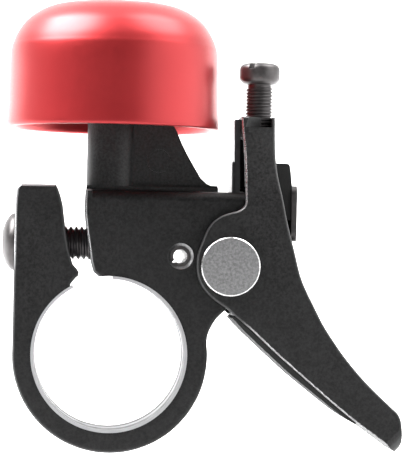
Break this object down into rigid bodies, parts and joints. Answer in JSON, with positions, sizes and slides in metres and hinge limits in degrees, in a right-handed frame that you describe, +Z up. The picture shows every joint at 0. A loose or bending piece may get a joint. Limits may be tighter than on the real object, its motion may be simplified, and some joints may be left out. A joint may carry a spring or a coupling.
{
  "type": "bicycle bell",
  "caption": "Handlebar bell with a small red dome on a black clamp ring, and a side thumb lever that swings a screw striker against the rim.",
  "frame": {"origin": "centre of the handlebar clamp bore, at the middle of the clamp ring's width", "axes": "+Y along the handlebar through the clamp bore, +Z up through the axis of the bell dome, +X from the bar towards the thumb lever"},
  "size_m": [0.0595, 0.0316, 0.0671],
  "materials": {
    "black_moulding": "fine grained satin",
    "black_steel": "black oxide, slight sheen",
    "pin_steel": "matte blasted face, bright rim",
    "spring_steel": "blued spring steel",
    "red_dome": "satin anodised",
    "brass": "turned",
    "liner": "smooth",
    "rubber": "matt"
  },
  "bodies": {
    "clamp": {"clamp_body": "black_moulding", "clamp_liner": "liner", "clamp_insert": "brass", "bell_base": "black_moulding", "base_screw": "black_steel", "bell_dome": "red_dome", "dome_screw": "black_steel", "dome_spacer": "black_moulding", "dome_washer": "rubber", "post_insert": "brass", "pivot_pin": "pin_steel", "pivot_sleeve": "brass", "thrust_washers": "liner", "pivot_washer": "black_steel", "pivot_nut": "black_steel", "stop_plate": "black_steel", "stop_pad": "rubber", "spring_pin": "black_steel", "leaf_spring": "spring_steel", "leaf_backing": "spring_steel", "leaf_screw": "black_steel"},
    "thumb_lever": {"lever": "black_moulding", "lever_pad": "rubber", "pivot_bushes": "brass"},
    "striker": {"striker_screw": "black_steel"},
    "bolt": {"clamp_bolt": "black_steel"}
  },
  "joints": [
    {"name": "lever_pivot", "type": "hinge", "parent": "clamp", "child": "thumb_lever", "pos_m": [0.01755, 0, 0.0133], "axis": [0, -1, 0], "range_deg": [0, 5.7], "stiffness_Nm_per_rad": 0.3, "springref_deg": -8.59, "deforming": ["leaf_spring"]},
    {"name": "striker_height", "type": "slide", "parent": "thumb_lever", "child": "striker", "axis": [0, 0, 1], "range_m": [-0.0015, 0.002]},
    {"name": "clamp_bolt_turn", "type": "hinge", "parent": "clamp", "child": "bolt", "pos_m": [-0.01425, 0, 0.0164], "axis": [-1, 0, 0], "continuous": true}
  ]
}
